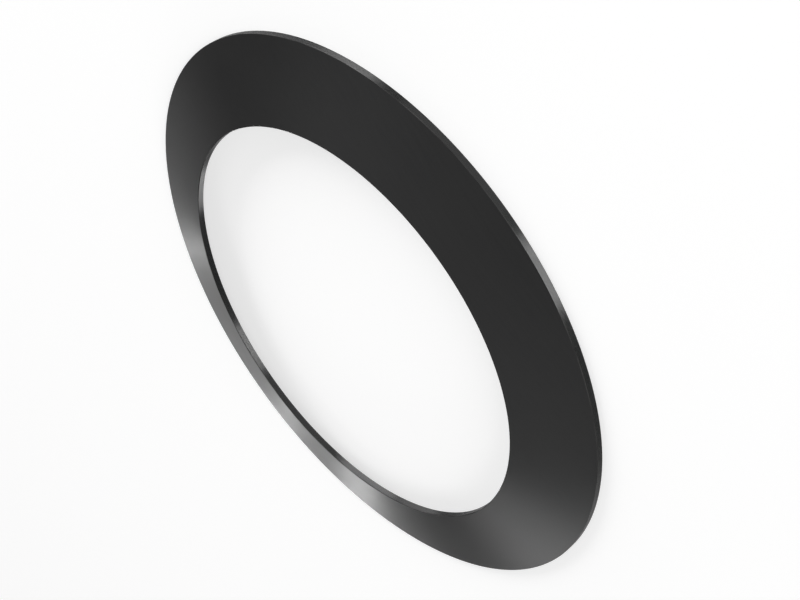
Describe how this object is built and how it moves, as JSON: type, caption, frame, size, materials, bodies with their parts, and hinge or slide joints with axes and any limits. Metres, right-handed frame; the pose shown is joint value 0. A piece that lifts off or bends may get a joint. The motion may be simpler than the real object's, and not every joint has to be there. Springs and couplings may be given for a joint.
{
  "type": "belleville washer",
  "caption": "Coned ring spring washer with a wide bore and a thin wall; it takes axial load between its raised inner edge and its rim.",
  "frame": {"origin": "on the washer's axis, in the plane of its outer lower edge, on which it rests", "axes": "+Z along the axis, from the rim towards the raised bore; X and Y are free, because the ring is round"},
  "size_m": [0.0515, 0.0514, 0.0024],
  "materials": {
    "spring_steel": "dark phosphated and oiled spring steel, satin"
  },
  "bodies": {
    "root": {"belleville_washer": "spring_steel"}
  },
  "joints": []
}
